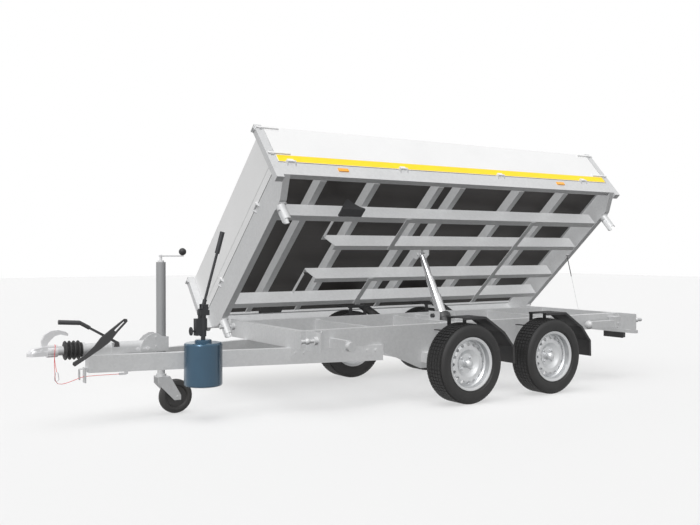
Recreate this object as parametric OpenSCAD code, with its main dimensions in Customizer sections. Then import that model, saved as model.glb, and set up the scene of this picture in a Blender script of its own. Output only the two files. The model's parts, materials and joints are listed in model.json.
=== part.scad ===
// Tandem-axle dump trailer with its bed tipped to the right, standing on its jockey wheel.
// Pieces are drawn from the ground up, with x = 0 between the axles, +X to the rear and +Y to the right,
// and then moved so that the origin is the centre of the tow ball. Sizes are in millimetres.

/* [Wheels and axles] */
// Tyre diameter
tyre_d = 550; // [530:2:580]
// Tyre width
tyre_w = 186; // [165:1:195]
// Rim flange diameter
rim_d = 365; // [350:1:380]
// Distance between the two axles
axle_gap = 786; // [760:2:820]
// Distance between the middle planes of the left and right wheels
track = 1470; // [1460:2:1500]
// Side of the square axle tube
axle_tube = 70; // [60:1:80]
// Radius of the wheel spindles
spindle_r = 17.5; // [15:0.5:22]
// Running clearance round a spindle
spindle_clear = 0.3; // [0.1:0.05:0.6]

/* [Chassis] */
// Length of the chassis rails
chassis_l = 3080; // [2900:10:3300]
// Outside width over the chassis rails
chassis_w = 962; // [900:2:1000]
// Height of the chassis rails
rail_h = 120; // [100:1:130]
// Width of the chassis rails
rail_w = 60; // [40:1:80]
// Wall of the chassis rails
rail_wall = 5; // [3:0.5:8]
// Height of the chassis rails' top above the ground
chassis_top = 530; // [515:1:545]

/* [Drawbar] */
// Height of the drawbar beams
draw_h = 105; // [80:1:120]
// Width of the drawbar beams
draw_w = 50; // [40:1:60]
// Distance of the drawbar's front end ahead of the axles' middle
draw_front = 2762; // [2700:2:2850]
// Distance of the drawbar's rear end ahead of the axles' middle
draw_rear = 914; // [850:2:1000]
// Half width over the drawbar at its front end
draw_front_half = 42; // [38:1:50]
// Half width over the drawbar at its rear end
draw_rear_half = 504; // [482:1:520]

/* [Coupling] */
// Distance of the tow ball ahead of the axles' middle
ball_ahead = 3070; // [3050:2:3120]
// Height of the tow ball's centre
ball_h = 436; // [430:1:440]
// Radius of the coupling's ball socket
socket_r = 25.3; // [25.1:0.1:25.6]
// Length of the socket's straight throat
socket_throat = 14; // [10:1:18]
// Radius of the draw tube
draw_tube_r = 28; // [24:1:32]
// Radius of the bellows
bellows_r = 58; // [50:1:62]
// Number of folds in the bellows
bellows_folds = 4; // [3:1:5]

/* [Jockey wheel] */
// Distance of the mast ahead of the axles' middle
mast_ahead = 2293; // [2270:1:2330]
// Radius of the outer mast tube
mast_r = 30; // [28:0.5:32]
// Height of the mast's top
mast_top = 974; // [900:2:1000]
// Radius of the inner leg
leg_r = 24; // [20:0.5:25]
// Radius of the jockey wheel
jockey_r = 109; // [100:1:115]
// Width of the jockey wheel
jockey_w = 62; // [50:1:70]
// Distance of the jockey wheel's axle behind the leg
jockey_trail = 95; // [70:1:110]

/* [Bed] */
// Length over the bed's frame
bed_l = 3188; // [3100:4:3260]
// Width over the bed's frame
bed_w = 1634; // [1600:2:1660]
// Height of the side rails of the bed
side_h = 115; // [100:1:120]
// Height of the front and rear beams of the bed
beam_h = 204; // [190:1:206]
// Thickness of the bed's front and rear beams
beam_t = 50; // [40:1:60]
// Width of the slanted cut at each end of the beams
cut_w = 149; // [120:1:160]
// Height of the bed floor above the ground when the bed is down
floor_top = 740; // [740:1:750]
// Thickness of the floor sheet
floor_t = 18; // [12:1:21]
// Height of the boards
board_h = 350; // [300:2:352]
// Thickness of the boards
board_t = 25; // [20:1:30]
// Gap under the boards
board_gap = 6; // [5:0.5:10]
// Angle to which the bed is tipped
tip_deg = 42; // [38:1:45]

/* [Tip pivots] */
// Distance of the tip balls from the centre plane
pivot_y = 612; // [608:1:616]
// Height of the tip balls
pivot_z = 478; // [475:1:480]
// Distance of the tip balls from the axles' middle
pivot_x = 1567; // [1560:1:1575]
// Radius of the tip balls
tip_ball_r = 20; // [16:0.5:22]
// Radius of the pins that carry the tip balls
tip_pin_r = 12; // [10:0.5:14]
// Clearance between a tip ball and its socket
tip_clear = 6.5; // [6:0.5:8]

/* [Cylinder] */
// Height of the cylinder's trunnion
trunnion_z = 545; // [540:1:550]
// Distance of the cylinder from the centre plane, to the left
cyl_left = 39; // [30:1:45]
// Distance of the cylinder ahead of the axles' middle
cyl_ahead = 26; // [20:1:40]
// Height of the cylinder's eye when the bed is down
eye_z = 616; // [610:1:618]
// Radius of the barrel
barrel_r = 48; // [44:1:52]
// Radii of the three plungers, from the largest to the smallest
plunger_r = [41, 34, 27];
// Length of the barrel below its trunnion
barrel_l = 200; // [196:1:210]
// Radius of the eye on the last plunger
eye_r = 22; // [18:1:23]

/* [Mudguards] */
// Radial gap between a tyre and the top of its mudguard
guard_gap = 38; // [30:1:45]
// Thickness of a mudguard
guard_t = 5; // [3:0.5:6]
// Distance that the rear end of a mudguard stands behind its axle
guard_back = 402; // [380:1:410]

/* [Pump] */
// Radius of the oil tank
tank_r = 118; // [100:1:118]
// Height of the oil tank
tank_h = 268; // [220:1:280]
// Height of the oil tank's bottom above the ground
tank_z = 212; // [200:1:240]
// Distance of the oil tank ahead of the axles' middle
tank_ahead = 2137; // [2100:1:2200]

/* [Hidden] */
$fn = 48;
steel = "silver";
half_track = track/2;
tyre_r = tyre_d/2;
chassis_half = chassis_w/2;
chassis_end = chassis_l/2;
rail_bottom = chassis_top - rail_h;
draw_top = rail_bottom;
draw_z = draw_top - draw_h;
bed_end = bed_l/2;
bed_half = bed_w/2;
side_bottom = floor_top - side_h;
beam_bottom = floor_top - beam_h;
floor_bottom = floor_top - floor_t;
board_z = floor_top + board_gap;
board_top = board_z + board_h;
axle_xs = [-axle_gap/2, axle_gap/2];
SIDES = [-1, 1];
// Gap at a seat between two separate pieces
seat_gap = 0.3;

// Width over a tyre's sidewalls, as half
tyre_half = tyre_w/2;
// Half width between a rim's flanges
rim_half = 80;

// Places

module from_ball() { translate([ball_ahead, 0, -ball_h]) children(); }

module both_sides() {
    children();
    mirror([0, 1, 0]) children();
}

module both_ends() {
    children();
    mirror([1, 0, 0]) children();
}

// Turns what is drawn in the lowered bed to the bed's tipped place
module tipped() {
    translate([0, pivot_y, pivot_z]) rotate([-tip_deg, 0, 0]) translate([0, -pivot_y, -pivot_z])
        children();
}

// A cylinder along Y whose middle is at the given point
module rod_y(r, l) { rotate([90, 0, 0]) cylinder(r = r, h = l, center = true); }

// A cylinder along X whose middle is at the given point
module rod_x(r, l) { rotate([0, 90, 0]) cylinder(r = r, h = l, center = true); }

// A plate drawn in X and Z, standing across Y with its middle at the given y
module plate_xz(y, t) { translate([0, y + t/2, 0]) rotate([90, 0, 0]) linear_extrude(t) children(); }

// A box from its lowest corner to its highest corner
module block(a, b) { translate(a) cube(b - a); }

// A hollow square or rectangular tube along X
module tube_x(a, b, wall) {
    difference() {
        block(a, b);
        block(a + [-1, wall, wall], b + [1, -wall, -wall]);
    }
}

// A C-shaped channel along X: web at y = 0, flanges towards +Y
module channel_x(x1, x2, h, w, t) {
    difference() {
        block([x1, 0, 0], [x2, w, h]);
        block([x1 - 1, t, t], [x2 + 1, w + 1, h - t]);
    }
}

// Chassis

cross_h = 100;
cross_w = 50;
cradle_reach = 112;
// Places of the chassis cross members, by their middle
CROSS_XS = [-880, -cyl_ahead - cradle_reach, -cyl_ahead + cradle_reach, 880];

module chassis_frame() {
    color(steel) from_ball() {
        both_sides()
            tube_x([-chassis_end, chassis_half - rail_w, rail_bottom],
                [chassis_end, chassis_half, chassis_top], rail_wall);
        both_ends()
            translate([chassis_end - cross_w, 0, 0]) difference() {
                block([0, rail_w - chassis_half, rail_bottom], [cross_w, chassis_half - rail_w, chassis_top]);
                block([-1, rail_w - chassis_half - 1, rail_bottom + rail_wall],
                    [cross_w - rail_wall, chassis_half - rail_w + 1, chassis_top - rail_wall]);
            }
        both_ends() both_sides()
            block([chassis_end - rail_wall, chassis_half - rail_w + rail_wall/2, rail_bottom + rail_wall/2],
                [chassis_end, chassis_half - rail_wall/2, chassis_top - rail_wall/2]);
        for (x = CROSS_XS)
            block([x - cross_w/2, rail_w - chassis_half - 1, rail_bottom + 5],
                [x + cross_w/2, chassis_half - rail_w + 1, rail_bottom + 5 + cross_h]);
    }
}

plate_t = 8;
plate_bottom = 222;
plate_long = 892;
plate_short = 577;
plate_step = 53;

// The long side plates under the rails, which carry the axle tubes
module axle_plates() {
    color(steel) from_ball() both_sides()
        plate_xz(chassis_half - plate_t/2, plate_t) difference() {
            polygon([[-plate_long, rail_bottom], [-plate_long, rail_bottom - plate_step],
                [-plate_short, plate_bottom], [plate_short, plate_bottom],
                [plate_long, rail_bottom - plate_step], [plate_long, rail_bottom]]);
            for (x = axle_xs) translate([x - arm_back, axle_z])
                square(axle_tube + 2*seat_gap, center = true);
        }
}

arm_back = 140;
axle_z = 300;
arm_y = 602;
arm_t = 30;
drum_r = 112;
drum_w = 56;

// A rubber-sprung axle: square tube, trailing arms, back plates and wheel spindles
module axle(x) {
    color(steel) from_ball() translate([x, 0, 0]) {
        block([-arm_back - axle_tube/2, -arm_y, axle_z - axle_tube/2],
            [-arm_back + axle_tube/2, arm_y, axle_z + axle_tube/2]);
        both_sides() {
            translate([0, arm_y + arm_t/2, 0]) {
                translate([-arm_back, 0, axle_z]) rod_y(44, arm_t);
                translate([0, 0, tyre_r]) rod_y(34, arm_t);
                translate([-arm_back, -arm_t/2, axle_z]) rotate([0, atan2(axle_z - tyre_r, arm_back), 0])
                    translate([0, 0, -30]) cube([arm_back, arm_t, 60]);
            }
            translate([0, arm_y + arm_t, tyre_r]) {
                translate([0, 3, 0]) rod_y(drum_r + 6, 6);
                translate([0, (half_track - arm_y - arm_t)/2, 0])
                    rod_y(spindle_r, half_track - arm_y - arm_t);
            }
        }
    }
}

module axle_front() { axle(axle_xs[0]); }
module axle_rear() { axle(axle_xs[1]); }

// Drawbar

draw_slope = (draw_rear_half - draw_front_half)/(draw_front - draw_rear);
draw_across = draw_w*sqrt(1 + draw_slope*draw_slope);
// Half width over the drawbar at a place x
function draw_half(x) = draw_front_half + (x + draw_front)*draw_slope;

module drawbar_beams() {
    color(steel) from_ball() {
        both_sides()
            translate([0, 0, draw_z]) linear_extrude(draw_h)
                polygon([[-draw_front, draw_front_half], [-draw_rear, draw_rear_half],
                    [-draw_rear, draw_rear_half - draw_across], [-draw_front, draw_front_half - draw_across]]);
        // Plate that hangs under the tip, with a hole and a guide eye for the breakaway cable
        difference() {
            block([-draw_front - 20, -25, draw_z - 62], [-draw_front - 12, 25, draw_z + 30]);
            translate([-draw_front - 16, 0, draw_z - 25]) rod_x(7, 20);
        }
        block([-draw_front - 20, -25, draw_z + 22], [-draw_front + 2, 25, draw_z + 30]);
        translate([-draw_front - 50, 0, draw_z - 10]) rotate([90, 0, 90]) linear_extrude(5) difference() {
            eye_outline(14, 34);
            eye_outline(9, 29);
        }
        block([-draw_front - 50, -5, draw_z + 20], [-draw_front - 14, 5, draw_z + 25]);
        // Strap across the beams that holds the cable's clevis
        block([-2538, -70, draw_z - cable_strap], [-2504, 70, draw_z + 1]);
    }
}

cable_strap = 5;

// A long eye: half its width and half its height
module eye_outline(w, h) {
    hull() for (s = SIDES) translate([0, s*(h - w)]) circle(r = w);
}

bracket_t = 8;
bracket_l = 130;
bolt_r = 11;

// Bolted plates that hold the drawbar to the chassis
module drawbar_brackets() {
    color(steel) from_ball() for (x = [-chassis_end + 60, -draw_rear - 80])
        both_sides() {
            translate([x, draw_half(x), 0]) rotate([0, 0, atan(draw_slope)]) {
                block([-bracket_l/2, 0, draw_top - 65], [bracket_l/2, bracket_t, draw_top]);
                for (dx = [-30, 30])
                    translate([dx, bracket_t + 5, draw_top - 35]) rod_y(bolt_r, 10);
            }
        }
}

// Tip pins

outrig_x = 1500;
outrig_t = 10;
outrig_out = 662;
outrig_z = 400;
outrig_h = 132;

module tip_pin(gusset) {
    translate([outrig_x - outrig_t, chassis_half, outrig_z]) cube([outrig_t, outrig_out - chassis_half, outrig_h]);
    // Gusset behind the plate
    if (gusset) translate([0, 0, outrig_z + 8]) linear_extrude(outrig_h - 16)
        polygon([[outrig_x - outrig_t, outrig_out - 8], [outrig_x - 120, chassis_half],
            [outrig_x - 108, chassis_half], [outrig_x - outrig_t, outrig_out - 20]]);
    translate([outrig_x + (pivot_x + 40 - outrig_x)/2, pivot_y, pivot_z]) rod_x(tip_pin_r, pivot_x + 40 - outrig_x);
    translate([outrig_x + 12, pivot_y, pivot_z]) rod_x(26, 24);
    translate([pivot_x, pivot_y, pivot_z]) sphere(r = tip_ball_r);
    translate([pivot_x + 44, pivot_y, pivot_z]) rod_x(15, 10);
}

module tip_pins() {
    color(steel) from_ball() both_sides() {
        tip_pin(false);
        mirror([1, 0, 0]) tip_pin(true);
        prop_bracket();
    }
}

side_arm_x = 1312;

// Short arms beside the front of the chassis, with a round end fitting
module side_arms() {
    color(steel) from_ball() both_sides() translate([-side_arm_x, 0, 0]) {
        block([-17, chassis_half, rail_bottom + 4], [17, 690, rail_bottom + 66]);
        translate([0, 712, rail_bottom + 28]) rod_y(31, 44);
        block([-31, 690, rail_bottom - 2], [31, 702, rail_bottom + 58]);
    }
}

// Coupling and overrun device

housing_z = 446;
draw_tube_front = 3000;
draw_tube_rear = 2436;
housing_front = 2795;
housing_rear = 2330;
cheek_t = 6;

module overrun_housing() {
    color(steel) from_ball() {
        difference() {
            union() {
                translate([-(housing_front + housing_rear)/2, 0, housing_z]) rod_x(36, housing_front - housing_rear);
                block([-draw_front, -36, draw_top], [-housing_rear, 36, housing_z]);
                translate([-housing_front + 8, 0, housing_z]) rod_x(44, 16);
                // Ear of the handbrake's pivot
                block([-lever_back - 24, -36 - cheek_t, draw_top], [-lever_back + 24, -28, housing_z + 34]);
            }
            translate([-(housing_front + draw_tube_rear)/2, 0, housing_z])
                rod_x(draw_tube_r + seat_gap, housing_front - draw_tube_rear + 10);
            block([-draw_front, -60, draw_top - 60], [-housing_rear + 1, 60, draw_top]);
            // Clamp bore for the mast
            translate([-mast_ahead, 0, 0]) cylinder(r = mast_r + 0.3, h = 900);
        }
        // Cheeks that hold the mast
        both_sides() difference() {
            translate([0, 36 + cheek_t/2, 0]) plate_xz(0, cheek_t)
                polygon([[-2445, draw_top], [-2438, 452], [-2420, 486], [-2395, 510], [-2362, 526],
                    [-2330, 526], [-2300, 505], [-2258, 500], [-2258, draw_top]]);
            translate([-mast_ahead, 0, 0]) cylinder(r = mast_r + 0.3, h = 900);
        }
        // Clamp ring round the mast, and its bolts
        difference() {
            translate([-mast_ahead, 0, draw_top]) cylinder(r = mast_r + 9, h = 88);
            translate([-mast_ahead, 0, draw_top - 1]) cylinder(r = mast_r + 0.3, h = 90);
        }
        for (p = [[-2415, 428], [-2380, 430], [-2338, 500], [-2338, 442]])
            translate([p[0], 0, p[1]]) rod_y(8, 2*(36 + cheek_t) + 12);
    }
}

bellows_front = 2906;
bellows_ring = 8;
fold_l = (bellows_front - housing_front - seat_gap - bellows_ring)/bellows_folds;

module draw_tube() {
    color(steel) from_ball() translate([-(draw_tube_front + draw_tube_rear)/2, 0, housing_z]) difference() {
        rod_x(draw_tube_r, draw_tube_front - draw_tube_rear);
        rod_x(draw_tube_r - 6, draw_tube_front - draw_tube_rear + 2);
    }
}

module bellows() {
    color([0.13, 0.13, 0.13]) from_ball() translate([-bellows_front, 0, housing_z]) rotate([0, 90, 0])
        rotate_extrude() polygon(concat(
            [[draw_tube_r + seat_gap, 0]],
            [for (i = [0:bellows_folds - 1], p = [[0.62, 0.06], [0.94, 0.3], [1, 0.42], [1, 0.58], [0.94, 0.7], [0.62, 0.94]])
                [bellows_r*p[0], (i + p[1])*fold_l]],
            [[bellows_r*0.78, bellows_folds*fold_l], [bellows_r*0.78, bellows_folds*fold_l + bellows_ring],
                [draw_tube_r + seat_gap, bellows_folds*fold_l + bellows_ring]]));
}

head_rear = 2940;
head_wall = 10;
head_top = ball_h + 40;
head_half = 27;

// The ball coupling: domed nose, tapered body and clamp on the draw tube
module coupling_head() {
    color(steel) from_ball() difference() {
        union() {
            translate([-ball_ahead, 0, ball_h]) {
                sphere(r = socket_r + head_wall);
                translate([0, 0, -socket_throat]) cylinder(r = socket_r + head_wall, h = socket_throat);
                translate([-8, 0, -socket_throat]) cylinder(r = socket_r + head_wall, h = 20);
            }
            translate([0, 0, ball_h - socket_throat]) linear_extrude(26)
                polygon([[-ball_ahead, socket_r + head_wall], [-head_rear - 20, 30], [-head_rear - 20, -30],
                    [-ball_ahead, -socket_r - head_wall]]);
            plate_xz(0, 2*head_half)
                polygon([[-ball_ahead - 28, ball_h - socket_throat], [-ball_ahead - 26, ball_h + 14],
                    [-ball_ahead, ball_h + 32], [-ball_ahead + 40, head_top], [-head_rear, head_top],
                    [-head_rear, ball_h - socket_throat]]);
            translate([-head_rear - 30, 0, housing_z]) rod_x(draw_tube_r + 8, 60);
        }
        translate([-ball_ahead, 0, ball_h]) {
            sphere(r = socket_r);
            translate([0, 0, -socket_throat - 1]) cylinder(r = socket_r, h = socket_throat + 1);
            // The cup ends at its throat, so that the ball enters from below
            translate([0, 0, -socket_throat - 40]) cylinder(r = socket_r + head_wall + 1, h = 40);
        }
        translate([-draw_tube_front + 60, 0, housing_z]) rod_x(draw_tube_r + seat_gap, 120 + 2*seat_gap);
        // Open underside between the socket and the draw tube
        block([-ball_ahead + 44, -20, ball_h - socket_throat - 1], [-draw_tube_front - 2, 20, ball_h + 8]);
    }
}

module coupling_handle() {
    seat = head_top + seat_gap;
    color("gainsboro") from_ball() plate_xz(0, 30)
        polygon([[-3028, seat], [-3030, seat + 38], [-3012, seat + 72], [-2978, seat + 92], [-2934, seat + 96],
            [-2892, seat + 84], [-2876, seat + 70], [-2880, seat + 58], [-2925, seat + 69], [-2955, seat + 61],
            [-2974, seat + 44], [-2994, seat + 22], [-3002, seat]]);
}

lever_y = -58;
lever_back = 2597;
lever_seat = 36 + cheek_t + seat_gap;

// Handbrake lever: pivot, steel rod and black grip
module handbrake_lever() {
    color("dimgray") from_ball() {
        translate([-lever_back, (lever_y - 6 - lever_seat)/2, 466]) rod_y(11, 6 - lever_y - lever_seat);
        plate_xz(lever_y, 9)
            polygon([[-2614, 456], [-2580, 456], [-2586, 486], [-2766, 590], [-2773, 578], [-2608, 480]]);
        translate([-2762, lever_y, 580]) rotate([0, -60, 0]) cylinder(r = 12, h = 72);
        translate([-2824, lever_y, 614]) rotate([0, -86, 0]) cylinder(r = 14, h = 122);
        translate([-2824, lever_y, 614]) sphere(r = 13.5);
    }
}

strap_y = -76;

// Black slotted lever that crosses the handbrake lever
module brake_strap() {
    // Pin on the handbrake lever
    color([0.15, 0.15, 0.15]) from_ball() translate([-2650, (strap_y + lever_y)/2 + 0.5, 514])
        rod_y(7, lever_y - strap_y - 10.5 + 1 - 2*seat_gap);
    color([0.15, 0.15, 0.15]) from_ball() difference() {
        plate_xz(strap_y, 12)
            polygon([[-2868, 366], [-2856, 356], [-2790, 396], [-2700, 452], [-2644, 492], [-2598, 548],
                [-2536, 612], [-2540, 626], [-2556, 628], [-2640, 566], [-2700, 520], [-2740, 470],
                [-2800, 416], [-2866, 380]]);
        plate_xz(strap_y, 20)
            polygon([[-2620, 560], [-2610, 552], [-2556, 606], [-2560, 614]]);
    }
}

// Jockey wheel

rest_leg_bottom = 260;
mast_bottom = 398;

module jockey_mast() {
    color(steel) from_ball() translate([-mast_ahead, 0, 0]) {
        difference() {
            translate([0, 0, mast_bottom]) cylinder(r = mast_r, h = mast_top - mast_bottom);
            translate([0, 0, mast_bottom - 1]) cylinder(r = leg_r + 0.5, h = mast_top - mast_bottom - 11);
        }
    }
}

// Crank on top of the mast with a black knob
module jockey_crank() {
    color(steel) from_ball() translate([-mast_ahead, 0, 0]) {
        translate([0, 0, mast_top]) cylinder(r = 20, h = 10);
        translate([0, 0, mast_top + 10]) cylinder(r = 8, h = 36);
        block([-10, -9, mast_top + 34], [150, 9, mast_top + 42]);
        translate([146, 0, mast_top + 40]) cylinder(r = 7, h = 14);
        color([0.1, 0.1, 0.1]) translate([146, 0, mast_top + 66]) sphere(r = 24);
    }
}

module jockey_leg() {
    color(steel) from_ball() translate([-mast_ahead, 0, rest_leg_bottom])
        cylinder(r = leg_r, h = 620);
}

fork_t = 6;
fork_in = jockey_w/2 + 6;

// Swivelling fork: head under the leg and two side plates
module jockey_fork() {
    color(steel) from_ball() translate([-mast_ahead, 0, 0]) {
        translate([0, 0, rest_leg_bottom - 14]) cylinder(r = leg_r + 8, h = 13.5);
        block([-34, -fork_in - fork_t, rest_leg_bottom - 20], [44, fork_in + fork_t, rest_leg_bottom - 14]);
        both_sides()
            translate([0, fork_in + fork_t/2, 0]) plate_xz(0, fork_t)
                polygon([[-34, rest_leg_bottom - 14], [44, rest_leg_bottom - 14], [jockey_trail + 22, jockey_r + 10],
                    [jockey_trail + 22, jockey_r - 20], [jockey_trail - 22, jockey_r - 20], [-34, rest_leg_bottom - 60]]);
        translate([jockey_trail, 0, jockey_r]) rod_y(8, 2*(fork_in + fork_t) + 16);
    }
}

module jockey_wheel() {
    color([0.12, 0.12, 0.12]) from_ball() translate([-mast_ahead + jockey_trail, 0, jockey_r]) difference() {
        rotate([90, 0, 0]) rotate_extrude()
            polygon([[0, -jockey_w/2 - 3], [22, -jockey_w/2 - 3], [22, -jockey_w/2 + 14], [66, -jockey_w/2 + 14],
                [72, -jockey_w/2 + 2], [84, -jockey_w/2], [jockey_r - 8, -jockey_w/2 + 6], [jockey_r, -12],
                [jockey_r, 12], [jockey_r - 8, jockey_w/2 - 6], [84, jockey_w/2], [72, jockey_w/2 - 2],
                [66, jockey_w/2 - 14], [22, jockey_w/2 - 14], [22, jockey_w/2 + 3], [0, jockey_w/2 + 3]]);
        rod_y(8.3, jockey_w + 20);
    }
}

// Pump

tank_y = -(draw_half(-tank_ahead) + tank_r - 4);

module oil_tank() {
    color([0.24, 0.4, 0.53]) from_ball() translate([-tank_ahead, tank_y, tank_z]) difference() {
        rotate_extrude() polygon([[0, 0], [tank_r - 12, 0], [tank_r - 3.5, 3.5], [tank_r, 12],
            [tank_r, tank_h - 12], [tank_r - 3.5, tank_h - 3.5], [tank_r - 12, tank_h], [52, tank_h],
            [52, tank_h + 14], [46, tank_h + 18], [0, tank_h + 18]]);
        // The side that seats on the drawbar beam
        translate([0, -tank_y, -tank_z]) translate([tank_ahead, 0, 0]) translate([0, 0, draw_z - 0.3])
            linear_extrude(draw_h + 0.6)
                polygon([[-draw_front, -draw_front_half - 0.3], [-draw_rear, -draw_rear_half - 0.3],
                    [-draw_rear, 0], [-draw_front, 0]]);
    }
}

pump_z = tank_z + tank_h + 18;
lever_rise = 200;

module hand_pump() {
    color([0.2, 0.21, 0.22]) from_ball() translate([-tank_ahead, tank_y, pump_z]) {
        cylinder(r = 14, h = 26);
        translate([0, 0, 20]) cylinder(r = 20, h = 52);
        translate([0, 0, 60]) cylinder(r = 25, h = 70);
        translate([0, 0, 125]) cylinder(r = 18, h = 30);
        block([-54, -22, 26], [-18, 22, 130]);
        block([-28, -26, 150], [32, 26, 182]);
        block([-30, -12, 100], [-17, 12, 190]);
        // Release valve with its small hand wheel
        translate([-62, 0, 54]) rod_x(6, 44);
        translate([-80, 0, 54]) difference() {
            rod_x(26, 7);
            rod_x(19, 9);
        }
        for (a = [0:60:120]) translate([-80, 0, 54]) rotate([a, 0, 0]) block([-2.5, -22, -3], [2.5, 22, 3]);
        // Yoke for the lever
        for (y = [-26, 16]) difference() {
            block([-14, y, 180], [24, y + 10, 218]);
            translate([0, 0, lever_rise]) rod_y(7 + seat_gap, 80);
        }
    }
}

module pump_lever() {
    color([0.2, 0.21, 0.22]) from_ball() translate([-tank_ahead, tank_y, pump_z + lever_rise]) {
        rod_y(7, 62);
        rotate([0, 15.7, 0]) {
            translate([0, 0, -13]) cylinder(r = 12.5, h = 62);
            cylinder(r = 8.5, h = 350);
            translate([0, 0, 345]) cylinder(r = 15, h = 138);
        }
    }
}

// Mudguards

// Outline of a mudguard round its wheel's centre, as x and z; the last two are its flared skirt
GUARD = [[-75, tyre_r + guard_gap + guard_t], [130, tyre_r + guard_gap + guard_t], [305, 205],
    [guard_back - 4, 95], [guard_back, -24]];
function inward(p, t) = p*(1 - t/norm(p));
guard_in = half_track - tyre_half - 10;
guard_out = half_track + tyre_half - 17;

module guard_skin(y1, y2, t) {
    translate([0, y2, 0]) rotate([90, 0, 0]) linear_extrude(y2 - y1)
        polygon(concat(GUARD, [for (i = [len(GUARD) - 1:-1:0]) inward(GUARD[i], t)]));
}

module mudguards() {
    color([0.12, 0.12, 0.12]) from_ball() for (x = axle_xs) both_sides() translate([x, 0, tyre_r]) {
        guard_skin(guard_in, guard_out, guard_t);
        guard_skin(guard_in, guard_in + 4, 17);
        guard_skin(guard_out - 4, guard_out, 17);
        // Struts from the chassis rail
        for (dx = [-50, 90]) {
            block([dx - 15, chassis_half, chassis_top - tyre_r - 46], [dx + 15, guard_in + 4, chassis_top - tyre_r - 40]);
            block([dx - 15, guard_in - 4, chassis_top - tyre_r - 46], [dx + 15, guard_in + 2, tyre_r + guard_gap - 2]);
        }
    }
}

// Rear end

bar_z = 372;
lamp_top = rail_bottom - 6;
bar_x = 1490;

module light_bar() {
    color(steel) from_ball() {
        tube_x_bar();
        both_sides() block([bar_x, 430, bar_z + 26], [bar_x + 8, 470, rail_bottom]);
        both_sides() block([bar_x, 620, bar_z + 22], [bar_x + 8, 650, outrig_z]);
    }
}

module tube_x_bar() { block([bar_x, -655, bar_z], [bar_x + 40, 655, bar_z + 26]); }

module rear_lamps() {
    color([0.75, 0.05, 0.05]) from_ball() both_sides() {
        block([bar_x + 40, 300, lamp_top - 84], [bar_x + 44, 505, lamp_top]);
        block([bar_x + 44, 304, lamp_top - 80], [bar_x + 74, 501, lamp_top - 4]);
    }
}

prop_x = 1400;
prop_l = 300;
prop_y = 530;
prop_z = 452;
prop_half = 26;

// A folded prop stand: bracket and pivot pin belong to the chassis
module prop_bracket() {
    for (y = [prop_y - prop_half - 8, prop_y + prop_half + 2])
        block([prop_x - 34, y, prop_z - 24], [prop_x + 34, y + 6, chassis_top - 22]);
    block([prop_x - 34, chassis_half, chassis_top - 28], [prop_x + 34, prop_y + prop_half + 8, chassis_top - 22]);
    translate([prop_x, prop_y, prop_z]) rod_y(8, 2*prop_half + 28);
}

module prop_stand() {
    translate([0, prop_y, 0]) {
        difference() {
            union() {
                translate([prop_x, 0, prop_z]) rod_y(20, 2*prop_half);
                difference() {
                    block([prop_x - prop_l, -prop_half, prop_z - prop_half], [prop_x, prop_half, prop_z + prop_half]);
                    block([prop_x - prop_l + 8, -prop_half + 4, prop_z - prop_half + 4],
                        [prop_x - 30, prop_half - 4, prop_z + prop_half - 4]);
                }
                translate([prop_x - prop_l, 0, prop_z]) rotate([0, -90, 0])
                    rotate_extrude() polygon([[0, 0], [16, 0], [16, 10], [35, 12], [33, 22], [26, 32], [14, 39], [0, 42]]);
            }
            translate([prop_x, 0, prop_z]) rod_y(8.3, 2*prop_half + 2);
        }
    }
}

module prop_stand_left() { color(steel) from_ball() mirror([0, 1, 0]) prop_stand(); }
module prop_stand_right() { color(steel) from_ball() prop_stand(); }

// Tipping cylinder

// Where the eye stands with the bed tipped, as y and z
function tip_yz(y, z) = [pivot_y + (y - pivot_y)*cos(tip_deg) + (z - pivot_z)*sin(tip_deg),
    pivot_z - (y - pivot_y)*sin(tip_deg) + (z - pivot_z)*cos(tip_deg)];
eye_yz = tip_yz(-cyl_left, eye_z);
reach = norm(eye_yz - [-cyl_left, trunnion_z]);
lean = atan2(eye_yz[0] + cyl_left, eye_yz[1] - trunnion_z);
closed = eye_z - trunnion_z;
stroke = (reach - closed)/3;
trunnion_r = 16;
gimbal_half = 66;
barrel_top = 14;
// Height of each plunger's head above the next one's when closed, neck under the eye and length that guides
plunger_step = 6;
eye_neck = 46;
guide = 36;

// Puts what is drawn up the Z axis from the trunnion along the leaning cylinder
module along_cylinder() {
    translate([-cyl_ahead, -cyl_left, trunnion_z]) rotate([-lean, 0, 0]) children();
}

module cylinder_cradle() {
    color(steel) from_ball() {
        for (s = SIDES) translate([-cyl_ahead + s*(gimbal_half + 12), 0, 0]) difference() {
            block([-6, -cyl_left - 62, rail_bottom + 4], [6, -cyl_left + 62, trunnion_z + 34]);
            translate([0, -cyl_left, trunnion_z]) rod_x(trunnion_r + 0.3, 20);
        }
        for (s = SIDES)
            translate([-cyl_ahead, -cyl_left, 0]) mirror([s < 0 ? 1 : 0, 0, 0])
                block([gimbal_half - 10, -40, rail_bottom + 5], [cradle_reach - cross_w/2, 40, rail_bottom + 60]);
    }
}

module cylinder_barrel() {
    color("dimgray") from_ball() along_cylinder() {
        difference() {
            union() {
                translate([0, 0, -barrel_l]) cylinder(r = barrel_r, h = barrel_l + barrel_top);
                translate([0, 0, -30]) cylinder(r = barrel_r + 8, h = 30 + barrel_top - 4);
                block([-58, -30, -28], [58, 30, 8]);
            }
            translate([0, 0, -barrel_l + 10]) cylinder(r = plunger_r[0] + 0.4, h = barrel_l + barrel_top);
        }
        for (s = SIDES) translate([s*(gimbal_half + 9), 0, 0]) rod_x(trunnion_r, 2*gimbal_half - 70);
    }
}

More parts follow.
